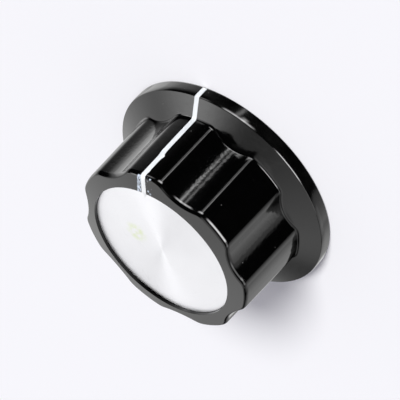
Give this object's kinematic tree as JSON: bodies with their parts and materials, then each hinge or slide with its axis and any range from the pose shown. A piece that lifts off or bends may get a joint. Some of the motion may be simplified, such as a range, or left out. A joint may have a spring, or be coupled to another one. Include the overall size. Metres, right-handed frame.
{
  "type": "control knob",
  "caption": "Black skirted control knob with a fluted grip, a spun aluminium disc on its front and a white pointer line, clamped to a plain round shaft by a set screw.",
  "frame": {"origin": "centre of the skirt's flat back face, on the shaft axis", "axes": "+Z along the shaft axis towards the inlay disc, -Y towards the pointer line"},
  "size_m": [0.038, 0.038, 0.0174],
  "materials": {
    "black_moulding": "polished thermoset moulding",
    "white_paint": "paint rubbed into a groove",
    "spun_aluminium": "finely spun",
    "turned_brass": "turned",
    "screw_steel": "plated"
  },
  "bodies": {
    "root": {"knob_body": "black_moulding", "pointer_line": "white_paint", "inlay_disc": "spun_aluminium", "shaft_bush": "turned_brass", "set_screw": "screw_steel"}
  },
  "joints": []
}
